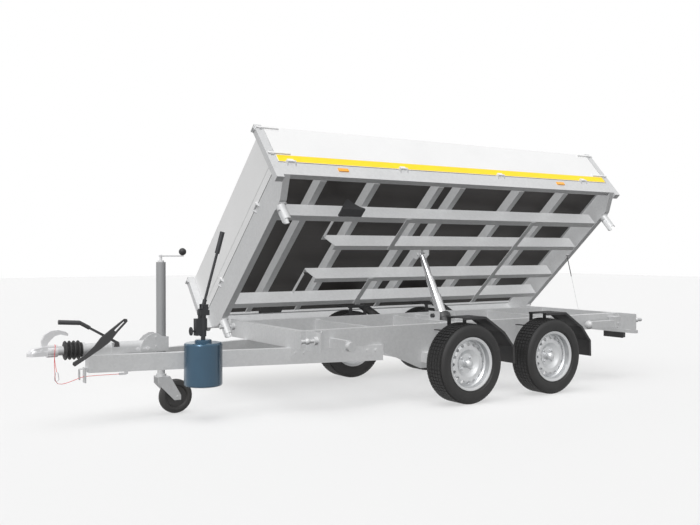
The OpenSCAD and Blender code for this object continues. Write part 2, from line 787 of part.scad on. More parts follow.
// Plunger i, counted from the thickest
module plunger(i) {
    head = closed + (i + 1)*stroke - (2 - i)*plunger_step - eye_neck;
    color(steel) from_ball() along_cylinder() difference() {
        translate([0, 0, head - stroke - guide]) cylinder(r = plunger_r[i], h = stroke + guide);
        if (i < 2)
            translate([0, 0, head - stroke - guide - 1]) cylinder(r = plunger_r[i + 1] + 0.4, h = stroke + guide + 2);
    }
}

module plunger_1() { plunger(0); }
module plunger_2() { plunger(1); }
module plunger_3() {
    plunger(2);
    color(steel) from_ball() along_cylinder() translate([0, 0, reach]) {
        rod_x(eye_r, 44);
        rod_x(12, 64);
        translate([0, 0, -48]) cylinder(r = plunger_r[2] - 8, h = 48);
    }
}

// Cables

cable_r = 1.6;
// Route of the breakaway cable, from its clevis under the drawbar to its hook
CABLE = [[-2566, 0, 279], [-2620, 0, 280], [-2690, 0, 281], [-2750, 0, 281], [-2786, 0, 279], [-2812, 0, 273],
    [-2844, -2, 262], [-2880, -5, 252], [-2915, -10, 247], [-2940, -16, 252], [-2955, -24, 270],
    [-2961, -34, 310], [-2965, -40, 370], [-2965, -43, 420], [-2962, -43, 450], [-2959, -36, 470],
    [-2956, -28, 480], [-2954, -14, 483.6], [-2951, 0, 484.2], [-2949, 14, 483.6], [-2948, 28, 480],
    [-2948, 36, 470], [-2947, 43, 450], [-2946, 41, 420], [-2945, 30, 380], [-2944, 14, 345],
    [-2943, 4, 328], [-2942, 2, 320]];

function unit(v) = v/norm(v);
function along(path, i) = unit(path[min(i + 1, len(path) - 1)] - path[max(i - 1, 0)]);
function side_of(d) = unit(cross(d, abs(d[1]) < 0.9 ? [0, 1, 0] : [1, 0, 0]));

// A round cable swept along a list of points
module cable(path, r, sides) {
    n = len(path);
    points = [for (i = [0:n - 1]) let (d = along(path, i), u = side_of(d), w = cross(d, u))
        for (k = [0:sides - 1]) path[i] + r*(cos(360*k/sides)*u + sin(360*k/sides)*w)];
    walls = [for (i = [0:n - 2], k = [0:sides - 1])
        [i*sides + k, i*sides + (k + 1) % sides, (i + 1)*sides + (k + 1) % sides, (i + 1)*sides + k]];
    ends = [[for (k = [sides - 1:-1:0]) k], [for (k = [0:sides - 1]) (n - 1)*sides + k]];
    polyhedron(points, concat(walls, ends), convexity = 6);
}

module breakaway_cable() { color("red") from_ball() cable(CABLE, cable_r, 8); }

// Spring hook at the cable's end, and the clevis at its start
module cable_hook() {
    color("silver") from_ball() {
        translate([-2942, 2, 294.6]) rotate([90, 0, 0]) difference() {
            union() {
                circle_plate(11, 3.6, -14);
                circle_plate(15, 3.6, 16);
                linear_extrude(3.6, center = true) polygon([[-11, 14], [11, 14], [15, -16], [-15, -16]]);
            }
            linear_extrude(5, center = true) polygon([[-6, 14], [6, 14], [10, -16], [-10, -16]]);
            translate([0, 18, 0]) cylinder(r = 6, h = 5, center = true);
            translate([0, -18, 0]) cylinder(r = 10, h = 5, center = true);
        }
        block([-2566, -8, 273], [-2520, -5, 285]);
        block([-2566, 5, 273], [-2520, 8, 285]);
        block([-2566, -8, 273], [-2562, 8, 285]);
        translate([-2528, 0, 279]) rod_y(4, 20);
        block([-2532, -4.7, 276], [-2510, 4.7, draw_z - cable_strap - seat_gap]);
    }
}

module circle_plate(r, t, y) { translate([0, -y, 0]) cylinder(r = r, h = t, center = true); }

limit_x = bed_end - beam_t - 20;
limit_y = -115;
limit_low = [limit_x, -25, chassis_top + seat_gap];
limit_high_yz = tip_yz(limit_y, beam_bottom - seat_gap - 0.9);
limit_high = [limit_x, limit_high_yz[0], limit_high_yz[1]];

// Steel cable that limits how far the bed tips
module limit_cable() {
    color("gray") from_ball() cable([limit_low, limit_low + (limit_high - limit_low)*0.5, limit_high], 2, 8);
}

// Wheels

module tyre() {
    rotate([90, 0, 0]) rotate_extrude($fn = 64)
        polygon([[rim_d/2 - 12, -rim_half + 8], [rim_d/2 + 0.8, -rim_half + 8], [rim_d/2 + 8, -tyre_half + 8],
            [tyre_r - 42, -tyre_half], [tyre_r - 18, -tyre_half + 5], [tyre_r - 5, -tyre_half + 16],
            [tyre_r, -tyre_half + 34], [tyre_r, tyre_half - 34], [tyre_r - 5, tyre_half - 16],
            [tyre_r - 18, tyre_half - 5], [tyre_r - 42, tyre_half], [rim_d/2 + 8, tyre_half - 8],
            [rim_d/2 + 0.8, rim_half - 8], [rim_d/2 - 12, rim_half - 8]]);
}

hole_count = 16;
hole_r = 12;
hole_ring = 132;
bolt_count = 4;
bolt_ring = 50;

// A pressed steel wheel with its hub cap and brake drum; +Z of the drawing is the outer side
module rim() {
    rotate([90, 0, 0]) difference() {
        union() {
            rotate_extrude($fn = 64)
                polygon([[rim_d/2, rim_half], [rim_d/2, rim_half - 7], [rim_d/2 - 12.3, rim_half - 7],
                    [rim_d/2 - 12.3, 30], [rim_d/2 - 24, 18], [rim_d/2 - 24, -14], [rim_d/2 - 12.3, -26],
                    [rim_d/2 - 12.3, -rim_half + 7], [rim_d/2, -rim_half + 7], [rim_d/2, -rim_half],
                    [rim_d/2 - 5, -rim_half], [rim_d/2 - 18, -rim_half + 7], [rim_d/2 - 18, -28],
                    [rim_d/2 - 30, -16], [rim_d/2 - 30, 12], [hole_ring + 14, 24], [hole_ring - 12, 36],
                    [98, 34], [82, 22], [72, 14], [0, 14], [0, 20], [66, 20], [80, 29], [96, 41],
                    [hole_ring - 10, 43], [hole_ring + 18, 30], [rim_d/2 - 30, 18], [rim_d/2 - 18, 32],
                    [rim_d/2 - 18, rim_half - 7], [rim_d/2 - 5, rim_half]]);
            translate([0, 0, 14]) rotate([180, 0, 0]) cylinder(r = 46, h = 40);
            translate([0, 0, -26 - drum_w]) cylinder(r = drum_r, h = drum_w);
            translate([0, 0, 18]) cylinder(r = 32, h = 22);
            translate([0, 0, 40]) sphere(r = 30);
            for (a = [0:360/bolt_count:359]) rotate(a + 45) translate([bolt_ring, 0, 19]) cylinder(r = 10, h = 16);
        }
        for (a = [0:360/hole_count:359]) rotate(a) translate([hole_ring, 0, 0]) cylinder(r = hole_r, h = 60);
        translate([0, 0, -100]) cylinder(r = spindle_r + spindle_clear, h = 101);
    }
}

module wheel_place(x, s) {
    from_ball() translate([x, s*half_track, tyre_r]) mirror([0, s > 0 ? 1 : 0, 0]) children();
}

module rim_at(x, s) { color("silver") wheel_place(x, s) rim(); }
module tyre_at(x, s) { color([0.12, 0.12, 0.12]) wheel_place(x, s) tyre(); }

module rim_front_left() { rim_at(axle_xs[0], -1); }
module rim_front_right() { rim_at(axle_xs[0], 1); }
module rim_rear_left() { rim_at(axle_xs[1], -1); }
module rim_rear_right() { rim_at(axle_xs[1], 1); }
module tyre_front_left() { tyre_at(axle_xs[0], -1); }
module tyre_front_right() { tyre_at(axle_xs[0], 1); }
module tyre_rear_left() { tyre_at(axle_xs[1], -1); }
module tyre_rear_right() { tyre_at(axle_xs[1], 1); }

// Bed

side_t = 38;
sheet_t = 4;
lip_in = 26;
hinge_out = 14;
hinge_w = 46;
// Hinge places along the side boards, from the bed's front end
SIDE_HINGES = [70, 990, 1930, 2860];
// Hinge places along the end boards, by their first y
END_HINGES = [-420, 374];
hinge_r = 6;
// How far a hinge pin stands out of its block, to pass through the ear on either side
hinge_pin = 12;
ear_t = 6;
// Places of a hinge's two ears, from the start of its block
EARS = [-5 - ear_t, hinge_w + 5];

// Front or rear beam, as a shallow channel whose ends are cut on a slant
module bed_beam() {
    outline = [[-bed_half, side_bottom], [-bed_half + cut_w, beam_bottom], [bed_half - cut_w, beam_bottom],
        [bed_half, side_bottom], [bed_half, floor_top], [-bed_half, floor_top]];
    inner = [[-bed_half + 5, side_bottom + 3], [-bed_half + cut_w + 2, beam_bottom + 5],
        [bed_half - cut_w - 2, beam_bottom + 5], [bed_half - 5, side_bottom + 3], [bed_half - 5, floor_top - 5],
        [-bed_half + 5, floor_top - 5]];
    difference() {
        translate([bed_end - beam_t, 0, 0]) rotate([90, 0, 90]) linear_extrude(beam_t) polygon(outline);
        translate([bed_end - beam_t - 1, 0, 0]) rotate([90, 0, 90]) linear_extrude(beam_t - 5 + 1) polygon(inner);
    }
}

module bed_end_beams() {
    color(steel) from_ball() tipped() {
        both_ends() bed_beam();
        // Lug of the limit cable
        block([limit_x - 12, limit_y - 10, beam_bottom], [bed_end - beam_t + 2, limit_y + 10, beam_bottom + 5]);
    }
}

module bed_side_rails() {
    color(steel) from_ball() tipped() {
        for (s = SIDES) mirror([0, s < 0 ? 1 : 0, 0]) translate([0, bed_half, side_bottom]) mirror([0, 1, 0]) {
            difference() {
                channel_x(-bed_end + beam_t, bed_end - beam_t, side_h, side_t, sheet_t);
                // Lower flange cut back over the right wheels
                if (s > 0) block([-900, 20, -1], [900, side_t + 1, sheet_t + 1]);
            }
            // Step down from the rail's top flange, and its return lip under the floor
            block([-bed_end + beam_t, side_t - sheet_t, side_h - floor_t - 4],
                [bed_end - beam_t, side_t, side_h]);
            block([-bed_end + beam_t, side_t + lip_in - 4, side_h - floor_t - 20],
                [bed_end - beam_t, side_t + lip_in, side_h - floor_t]);
            block([-bed_end + beam_t, side_t - 5, side_h - floor_t - 4],
                [bed_end - beam_t, side_t + lip_in, side_h - floor_t]);
        }
    }
}

// Ears that hold the hinge pins of the boards
module hinge_ears() {
    color(steel) from_ball() tipped() {
        both_sides() for (x = SIDE_HINGES, e = EARS)
            translate([-bed_end + x + e, -bed_half, board_z - 4]) rotate([90, 0, 90]) linear_extrude(ear_t) ear();
        both_ends() for (y = END_HINGES, e = EARS)
            translate([bed_end, y + e + ear_t, board_z - 4]) rotate([90, 0, 0]) linear_extrude(ear_t) mirror([1, 0]) ear();
    }
}

// Outline of a hinge ear: its pin is at hinge_out - 3 ahead of the frame's face
module ear() {
    difference() {
        union() {
            translate([3 - hinge_out, 0]) circle(r = 9);
            polygon([[3 - hinge_out - 9, 0], [0, -2.5], [0, -34], [3 - hinge_out - 9, -16]]);
        }
        translate([3 - hinge_out, 0]) circle(r = hinge_r + seat_gap);
    }
}

cross_z = 647;
cross_t = 4;
notch_y = 684;
// Front faces of the bed's cross members, from the bed's front end
CROSS_FROM_FRONT = [315, 756, 1334, 1543, 2153, 2646];

module bed_cross_members() {
    color(steel) from_ball() tipped() for (d = CROSS_FROM_FRONT) difference() {
        translate([-bed_end + d, bed_half - side_t - lip_in, cross_z]) rotate([0, 0, -90])
            channel_x(0, bed_w - 2*side_t - 2*lip_in, floor_bottom - cross_z, 50, cross_t);
        // Notch that clears the right mudguards when the bed is tipped
        translate([-bed_end + d - 1, 0, 0]) rotate([90, 0, 90]) linear_extrude(52)
            polygon([[notch_y - 86, cross_z - 1], [notch_y, floor_bottom - 10], [bed_half, floor_bottom - 10],
                [bed_half, cross_z - 1]]);
    }
}

// Thin strips under the long rails, and the plates that close the cut ends of the middle ones
module bed_strips() {
    color(steel) from_ball() tipped() {
        for (s = STRIPS)
            block([-bed_end + s[0], s[1], beam_bottom], [-bed_end + s[0] + s[3], s[2], rails_z]);
        for (y = [[-475, -223], [190, 420]])
            block([-bed_end + beam_t + 525, y[0], cross_z - 24], [-bed_end + beam_t + 529, y[1], cross_z]);
    }
}

strip_t = 5;
rails_z = beam_bottom + strip_t;
// Long rails under the bed: near face y, height, width, length that is missing at the front
RAILS = [[-525, cross_z - rails_z, 50, 0], [-223, cross_z - rails_z, 45, 525],
    [145, cross_z - rails_z, 45, 525], [420, cross_z - rails_z, 50, 0]];
// Thin strips under the rails: distance from the front, first y, last y, width
STRIPS = [[1113, -520, -183, 42], [1113, 150, 465, 42], [2384, -520, 465, 42]];

module bed_rails() {
    color(steel) from_ball() tipped() {
        for (r = RAILS) difference() {
            translate([-bed_end + beam_t + r[3], r[0], rails_z]) channel_x(0, bed_l - 2*beam_t - r[3], r[1], r[2], 4);
            if (r[3] > 0)
                translate([0, r[0] - 1, 0]) mirror([0, 1, 0]) rotate([90, 0, 0]) linear_extrude(r[2] + 2)
                    polygon([[-bed_end + beam_t + r[3] - 1, rails_z - 1], [-bed_end + beam_t + r[3] + 55, rails_z - 1],
                        [-bed_end + beam_t + r[3] - 1, cross_z - 25]]);
        }
    }
}

module bed_floor() {
    color([0.2, 0.18, 0.165]) from_ball() tipped()
        block([-bed_end + beam_t, -bed_half + side_t, floor_bottom], [bed_end - beam_t, bed_half - side_t, floor_top]);
}

post_x = 56;
post_y = 45;
post_bottom = side_bottom - 25;

// Heights of the two latches of a side board, above the lowered bed
LATCHES = [board_top - 26, board_z + 70];

// Corner posts with the keepers of the latches and a stop strip beside each end board
module corner_posts() {
    color(steel) from_ball() tipped() both_ends() both_sides() {
        block([bed_end, bed_half - post_y, post_bottom], [bed_end + post_x, bed_half, board_top + 12]);
        block([bed_end - board_t, bed_half - post_y, board_z], [bed_end + 1, bed_half - board_t - 6, board_top]);
        for (z = LATCHES, dz = [-10, 17])
            block([bed_end + 8, bed_half - 1, z + dz], [bed_end + 30, bed_half + 9, z + dz + 7]);
        // Latch of the end board
        block([bed_end + post_x - 1, bed_half - 38, board_top - 34], [bed_end + post_x + 9, bed_half - 8, board_top - 4]);
        block([bed_end + post_x + 8, bed_half - 42, board_top - 24], [bed_end + post_x + 16, bed_half - 2, board_top - 14]);
    }
}

tip_socket_r = tip_ball_r + tip_clear;
tip_socket_wall = 6;
tip_socket_z = pivot_z - 76;

// Sockets that hang from the bed's corners and straddle the tip balls
module tip_sockets() {
    color(steel) from_ball() tipped() both_ends() both_sides() translate([pivot_x, pivot_y, 0]) {
        difference() {
            translate([0, 0, tip_socket_z]) cylinder(r = tip_socket_r + tip_socket_wall, h = 128);
            translate([0, 0, tip_socket_z - 1]) cylinder(r = tip_socket_r, h = 118);
            block([-60, -tip_pin_r - tip_clear, tip_socket_z - 1], [60, tip_pin_r + tip_clear, pivot_z]);
            translate([0, 0, pivot_z]) rod_x(tip_pin_r + tip_clear, 120);
        }
        block([-31, -35, tip_socket_z + 128], [bed_end - pivot_x, 35, beam_bottom]);
    }
}

cheek_in = 38;

// Cheeks under the middle of the bed that take the cylinder's eye
module cylinder_bracket() {
    color(steel) from_ball() tipped() for (s = SIDES)
        translate([-cyl_ahead + s*(cheek_in + 4), 0, 0]) {
            difference() {
                block([-4, -cyl_left - 50, eye_z - 26], [4, -cyl_left + 50, floor_bottom]);
                for (t = SIDES) translate([0, -cyl_left + t*50, eye_z - 26]) rotate([45, 0, 0])
                    cube([10, 34, 34], center = true);
            }
            translate([s*8, -cyl_left, eye_z]) rod_x(14, 8);
        }
}

chock_l = 190;
chock_w = 75;

// Wheel chocks stored beside the outer rails
module wheel_chocks() {
    color([0.1, 0.1, 0.1]) from_ball() tipped() {
        for (c = [[520, RAILS[0][0] - chock_w - seat_gap], [300, RAILS[3][0] + RAILS[3][2] + seat_gap]])
            translate([-bed_end + c[0], c[1] + chock_w, rails_z]) rotate([90, 0, 0]) linear_extrude(chock_w)
                polygon([[0, 0], [chock_l, 0], [chock_l, 12], [150, 30], [120, 56], [96, 86], [80, 100], [66, 92], [34, 50], [0, 14]]);
    }
}

module marker_lamps() {
    color("orange") from_ball() tipped() both_sides() for (x = [-bed_end + 446, bed_end - 640])
        block([x, bed_half + 0.3, side_bottom + 55], [x + 80, bed_half + 9, side_bottom + 82]);
}

// Boards

// A board of extruded profile along X: outer face at y = 0 looking to -Y
module board_profile(l) {
    translate([-l/2, 0, 0]) rotate([90, 0, 90]) linear_extrude(l)
        polygon([[0, 0], [board_t, 0], [board_t, 24], [board_t - 4, 28], [board_t - 4, board_h - 28],
            [board_t, board_h - 24], [board_t, board_h], [4, board_h], [0, board_h - 4], [0, 66], [2, 64], [2, 6], [0, 4]]);
}

// A side board with its hinge blocks, pins and latch levers
module side_board() {
    translate([0, -bed_half, board_z]) board_profile(bed_l - 12);
    for (x = SIDE_HINGES) translate([-bed_end + x, -bed_half, board_z]) {
        block([0, -hinge_out, -4], [hinge_w, 3, 16]);
        translate([hinge_w/2, -hinge_out + 3, -4]) rod_x(hinge_r, hinge_w + 2*hinge_pin);
    }
    both_ends() for (z = LATCHES) {
        block([bed_end - 120, -bed_half - 10, z], [bed_end + 50, -bed_half - seat_gap, z + 14]);
        block([bed_end - 100, -bed_half - 5, z + 1], [bed_end - 70, -bed_half + 2, z + 13]);
    }
}

module board_left() { color("whitesmoke") from_ball() tipped() side_board(); }
module board_right() { color("whitesmoke") from_ball() tipped() mirror([0, 1, 0]) side_board(); }

end_board_half = bed_half - post_y - 6;

module end_board() {
    translate([bed_end, 0, board_z]) rotate([0, 0, 90]) board_profile(2*end_board_half);
    for (y = END_HINGES)
        translate([bed_end, y, board_z]) {
            block([-3, 0, -4], [hinge_out, hinge_w, 16]);
            translate([hinge_out - 3, hinge_w/2, -4]) rod_y(hinge_r, hinge_w + 2*hinge_pin);
        }
}

module board_front() { color("whitesmoke") from_ball() tipped() mirror([1, 0, 0]) end_board(); }
module board_rear() { color("whitesmoke") from_ball() tipped() end_board(); }

chassis_frame();
axle_plates();
axle_front();
axle_rear();
drawbar_beams();
drawbar_brackets();
tip_pins();
side_arms();
overrun_housing();
draw_tube();
bellows();
coupling_head();
coupling_handle();
handbrake_lever();
brake_strap();
jockey_mast();
jockey_crank();
oil_tank();
hand_pump();
pump_lever();
mudguards();
light_bar();
rear_lamps();
cylinder_cradle();
breakaway_cable();
cable_hook();
limit_cable();
cylinder_barrel();
plunger_1();
plunger_2();
plunger_3();
jockey_leg();
jockey_fork();
jockey_wheel();
prop_stand_left();
prop_stand_right();
rim_front_left();
tyre_front_left();
rim_front_right();
tyre_front_right();
rim_rear_left();
tyre_rear_left();
rim_rear_right();
tyre_rear_right();
bed_end_beams();
bed_side_rails();
hinge_ears();
bed_strips();
bed_cross_members();
bed_rails();
bed_floor();
corner_posts();
tip_sockets();
cylinder_bracket();
wheel_chocks();
marker_lamps();
board_left();
board_right();
board_front();
board_rear();
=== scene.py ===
"""Finishes a tandem-axle dump trailer whose bed is tipped to the right.

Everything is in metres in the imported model's frame: the origin is the centre of the tow ball,
+X runs to the rear, +Y to the right and +Z up. Most pieces are placed in the maker's own measures:
x from the middle between the axles and z from the ground, with the bed lying down.
"""

import json
import math

import bmesh
import bpy
from mathutils import Matrix, Vector


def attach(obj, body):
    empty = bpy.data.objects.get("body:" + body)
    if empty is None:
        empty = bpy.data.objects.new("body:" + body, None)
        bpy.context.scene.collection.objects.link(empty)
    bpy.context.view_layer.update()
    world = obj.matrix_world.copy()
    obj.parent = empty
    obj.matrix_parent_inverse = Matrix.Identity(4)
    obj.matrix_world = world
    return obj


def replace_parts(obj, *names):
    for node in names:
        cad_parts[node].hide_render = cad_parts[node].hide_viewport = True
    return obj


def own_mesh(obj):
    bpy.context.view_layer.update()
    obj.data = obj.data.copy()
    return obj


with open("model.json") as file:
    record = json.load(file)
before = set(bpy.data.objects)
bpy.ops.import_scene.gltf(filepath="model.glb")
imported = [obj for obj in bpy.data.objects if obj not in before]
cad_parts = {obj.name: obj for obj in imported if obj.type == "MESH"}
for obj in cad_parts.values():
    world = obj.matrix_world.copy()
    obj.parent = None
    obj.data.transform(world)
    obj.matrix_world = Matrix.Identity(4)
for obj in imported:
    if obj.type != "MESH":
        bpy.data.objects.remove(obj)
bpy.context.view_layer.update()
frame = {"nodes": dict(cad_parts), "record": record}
nodes = frame["nodes"]

# The maker's measures
BALL_AHEAD = 3.070
BALL_HEIGHT = 0.436
TIP_ANGLE = math.radians(42)
TIP_PIVOT = Vector((0, 0.612, 0.478))
FLOOR_Z = -BALL_HEIGHT
HALF_TRACK = 0.735
AXLES = (-0.393, 0.393)
TYRE_R = 0.275
TYRE_HALF = 0.093
BED_HALF = 0.817
BED_END = 1.594
FLOOR_TOP = 0.740
BOARD_Z = 0.746


def from_ground(point):
    """A point from the axles' middle and the ground, in the model's frame."""
    return Vector(point) + Vector((BALL_AHEAD, 0, -BALL_HEIGHT))


TIP = (
    Matrix.Translation(TIP_PIVOT)
    @ Matrix.Rotation(-TIP_ANGLE, 4, "X")
    @ Matrix.Translation(-TIP_PIVOT)
)
TO_BALL = Matrix.Translation((BALL_AHEAD, 0, -BALL_HEIGHT))
TO_BED = TO_BALL @ TIP


# Camera


def add_camera():
    """The photograph's view, found by fitting a perspective to the object's own sizes."""
    data = bpy.data.cameras.new("photo_view")
    data.sensor_width = 36
    data.sensor_fit = "HORIZONTAL"
    data.lens = 43.354
    data.clip_end = 200
    camera = bpy.data.objects.new("photo_view", data)
    camera.location = (-1.123, -5.180, 0.604)
    camera.rotation_euler = (math.radians(89.267), 0, math.radians(-32.79))
    bpy.context.collection.objects.link(camera)
    bpy.context.scene.camera = camera


add_camera()


# Shader node groups


def node_group(name, inputs, outputs):
    """A shader group with named sockets: returns it with its two end nodes."""
    group = bpy.data.node_groups.new(name, "ShaderNodeTree")
    for label, kind, value in inputs:
        socket = group.interface.new_socket(label, in_out="INPUT", socket_type=kind)
        if value is not None:
            socket.default_value = value
    for label, kind in outputs:
        group.interface.new_socket(label, in_out="OUTPUT", socket_type=kind)
    start = group.nodes.new("NodeGroupInput")
    end = group.nodes.new("NodeGroupOutput")
    return group, start, end


def add(tree, kind, links=(), **settings):
    """A node with its settings, and its inputs given by name as a value or another socket."""
    made = tree.nodes.new(kind)
    for key, value in settings.items():
        setattr(made, key, value)
    for key, value in dict(links).items():
        socket = made.inputs[key]
        if isinstance(value, bpy.types.NodeSocket):
            tree.links.new(value, socket)
        else:
            socket.default_value = value
    return made


COLOUR, NUMBER, VECTOR = "NodeSocketColor", "NodeSocketFloat", "NodeSocketVector"


def make_spangle():
    """Zinc crystals: pale and dark cells with cloudy patches, for galvanised steel."""
    group, start, end = node_group(
        "zinc_spangle",
        [
            ("Vector", VECTOR, None),
            ("Colour", COLOUR, (0.6, 0.6, 0.6, 1)),
            ("Crystal Scale", NUMBER, 90.0),
            ("Crystal Contrast", NUMBER, 0.1),
            ("Cloud Contrast", NUMBER, 0.1),
        ],
        [("Colour", COLOUR), ("Roughness", NUMBER), ("Height", NUMBER)],
    )
    cells = add(
        group,
        "ShaderNodeTexVoronoi",
        {"Vector": start.outputs["Vector"], "Scale": start.outputs["Crystal Scale"]},
    )
    cell_tone = add(group, "ShaderNodeSeparateColor", {"Color": cells.outputs["Color"]})
    clouds = add(
        group,
        "ShaderNodeTexNoise",
        {"Vector": start.outputs["Vector"], "Scale": 3.0, "Detail": 5.0},
    )
    crystal_part = add(
        group,
        "ShaderNodeMath",
        {0: cell_tone.outputs[0], 1: start.outputs["Crystal Contrast"]},
        operation="MULTIPLY",
    )
    cloud_part = add(
        group,
        "ShaderNodeMath",
        {0: clouds.outputs["Fac"], 1: start.outputs["Cloud Contrast"]},
        operation="MULTIPLY",
    )
    darkening = add(
        group,
        "ShaderNodeMath",
        {0: crystal_part.outputs[0], 1: cloud_part.outputs[0]},
        operation="ADD",
    )
    tone = add(
        group,
        "ShaderNodeMix",
        {
            "Factor": darkening.outputs[0],
            "A": start.outputs["Colour"],
            "B": (0.1, 0.105, 0.11, 1),
        },
        data_type="RGBA",
    )
    rough = add(
        group,
        "ShaderNodeMapRange",
        {"Value": cell_tone.outputs[1], "To Min": 0.38, "To Max": 0.52},
    )
    group.links.new(tone.outputs["Result"], end.inputs["Colour"])
    group.links.new(rough.outputs[0], end.inputs["Roughness"])
    group.links.new(cell_tone.outputs[2], end.inputs["Height"])
    return group


def make_dust():
    """Dry road dust that thickens towards the ground and clings in patches."""
    group, start, end = node_group(
        "road_dust",
        [
            ("Vector", VECTOR, None),
            ("Colour", COLOUR, (0.5, 0.5, 0.5, 1)),
            ("Dust Colour", COLOUR, (0.32, 0.29, 0.25, 1)),
            ("Thick Below", NUMBER, FLOOR_Z),
            ("None Above", NUMBER, FLOOR_Z + 0.6),
            ("Amount", NUMBER, 0.3),
        ],
        [("Colour", COLOUR), ("Mask", NUMBER)],
    )
    height = add(group, "ShaderNodeSeparateXYZ", {0: start.outputs["Vector"]})
    rise = add(
        group,
        "ShaderNodeMapRange",
        {
            "Value": height.outputs["Z"],
            "From Min": start.outputs["None Above"],
            "From Max": start.outputs["Thick Below"],
        },
    )
    patches = add(
        group,
        "ShaderNodeTexNoise",
        {"Vector": start.outputs["Vector"], "Scale": 9.0, "Detail": 6.0},
    )
    clinging = add(
        group,
        "ShaderNodeMath",
        {0: rise.outputs[0], 1: patches.outputs["Fac"]},
        operation="MULTIPLY",
    )
    mask = add(
        group,
        "ShaderNodeMath",
        {0: clinging.outputs[0], 1: start.outputs["Amount"]},
        operation="MULTIPLY",
    )
    tone = add(
        group,
        "ShaderNodeMix",
        {
            "Factor": mask.outputs[0],
            "A": start.outputs["Colour"],
            "B": start.outputs["Dust Colour"],
        },
        data_type="RGBA",
    )
    group.links.new(tone.outputs["Result"], end.inputs["Colour"])
    group.links.new(mask.outputs[0], end.inputs["Mask"])
    return group


def make_grain():
    """Fine moulded grain, for plastic, rubber and cast iron."""
    group, start, end = node_group(
        "fine_grain",
        [("Vector", VECTOR, None), ("Scale", NUMBER, 400.0), ("Patchiness", NUMBER, 0.3)],
        [("Height", NUMBER), ("Roughness", NUMBER)],
    )
    grain = add(
        group,
        "ShaderNodeTexNoise",
        {"Vector": start.outputs["Vector"], "Scale": start.outputs["Scale"], "Detail": 3.0},
    )
    patches = add(
        group, "ShaderNodeTexNoise", {"Vector": start.outputs["Vector"], "Scale": 12.0, "Detail": 4.0}
    )
    spread = add(
        group,
        "ShaderNodeMath",
        {0: patches.outputs["Fac"], 1: start.outputs["Patchiness"]},
        operation="MULTIPLY",
    )
    rough = add(group, "ShaderNodeMath", {0: spread.outputs[0], 1: 0.45}, operation="ADD")
    group.links.new(grain.outputs["Fac"], end.inputs["Height"])
    group.links.new(rough.outputs[0], end.inputs["Roughness"])
    return group


SPANGLE, DUST, GRAIN = make_spangle(), make_dust(), make_grain()


# Materials


def start_material(name, **shader_values):
    """A material's tree with its shader, and the object's own coordinates."""
    material = bpy.data.materials.new(name)
    material.use_nodes = True
    tree = material.node_tree
    shader = tree.nodes["Principled BSDF"]
    for key, value in shader_values.items():
        shader.inputs[key.replace("_", " ")].default_value = value
    place = add(tree, "ShaderNodeTexCoord").outputs["Object"]
    return material, tree, shader, place


def use_group(tree, group, links):
    made = tree.nodes.new("ShaderNodeGroup")
    made.node_tree = group
    for key, value in links.items():
        if isinstance(value, bpy.types.NodeSocket):
            tree.links.new(value, made.inputs[key])
        else:
            made.inputs[key].default_value = value
    return made


def add_bump(tree, shader, height, strength, distance):
    bump = add(
        tree,
        "ShaderNodeBump",
        {"Height": height, "Strength": strength, "Distance": distance},
    )
    tree.links.new(bump.outputs["Normal"], shader.inputs["Normal"])


def zinc_metal(name, colour, metallic, crystals, contrast, dust=0.35):
    """Galvanised or plated steel with its crystals and a little dust near the ground."""
    material, tree, shader, place = start_material(name, Metallic=metallic)
    spangle = use_group(
        tree,
        SPANGLE,
        {
            "Vector": place,
            "Colour": colour,
            "Crystal Scale": crystals,
            "Crystal Contrast": contrast,
            "Cloud Contrast": 0.12,
        },
    )
    dusty = use_group(
        tree, DUST, {"Vector": place, "Colour": spangle.outputs["Colour"], "Amount": dust}
    )
    tree.links.new(dusty.outputs["Colour"], shader.inputs["Base Color"])
    tree.links.new(spangle.outputs["Roughness"], shader.inputs["Roughness"])
    add_bump(tree, shader, spangle.outputs["Height"], 0.05, 0.001)
    return material


def grained(name, colour, grain, strength, dust=0.4, patchiness=0.3, **shader_values):
    """Plastic, rubber, cast iron or paint with a fine grain."""
    material, tree, shader, place = start_material(name, **shader_values)
    fine = use_group(tree, GRAIN, {"Vector": place, "Scale": grain, "Patchiness": patchiness})
    dusty = use_group(tree, DUST, {"Vector": place, "Colour": colour, "Amount": dust})
    tree.links.new(dusty.outputs["Colour"], shader.inputs["Base Color"])
    tree.links.new(fine.outputs["Roughness"], shader.inputs["Roughness"])
    add_bump(tree, shader, fine.outputs["Height"], strength, 0.001)
    return material


def gloss(name, colour, roughness, **shader_values):
    """Smooth lacquer, lens or chrome with faint cloudy wear in its colour."""
    material, tree, shader, place = start_material(name, Roughness=roughness, **shader_values)
    clouds = add(tree, "ShaderNodeTexNoise", {"Vector": place, "Scale": 14.0, "Detail": 4.0})
    dark = tuple(0.86 * part for part in colour[:3]) + (1,)
    tone = add(
        tree,
        "ShaderNodeMix",
        {"Factor": clouds.outputs["Fac"], "A": colour, "B": dark},
        data_type="RGBA",
    )
    tree.links.new(tone.outputs["Result"], shader.inputs["Base Color"])
    return material


def make_floor_ply():
    """Film-faced plywood: near black with a slow grain along the bed."""
    material, tree, shader, place = start_material("film_faced_ply", Roughness=0.5)
    stretch = add(tree, "ShaderNodeMapping", {"Vector": place, "Scale": (0.6, 14.0, 14.0)})
    grain = add(
        tree, "ShaderNodeTexNoise", {"Vector": stretch.outputs[0], "Scale": 3.0, "Detail": 6.0}
    )
    tone = add(
        tree,
        "ShaderNodeMix",
        {
            "Factor": grain.outputs["Fac"],
            "A": (0.036, 0.029, 0.026, 1),
            "B": (0.022, 0.02, 0.019, 1),
        },
        data_type="RGBA",
    )
    tree.links.new(tone.outputs["Result"], shader.inputs["Base Color"])
    add_bump(tree, shader, grain.outputs["Fac"], 0.08, 0.001)
    return material


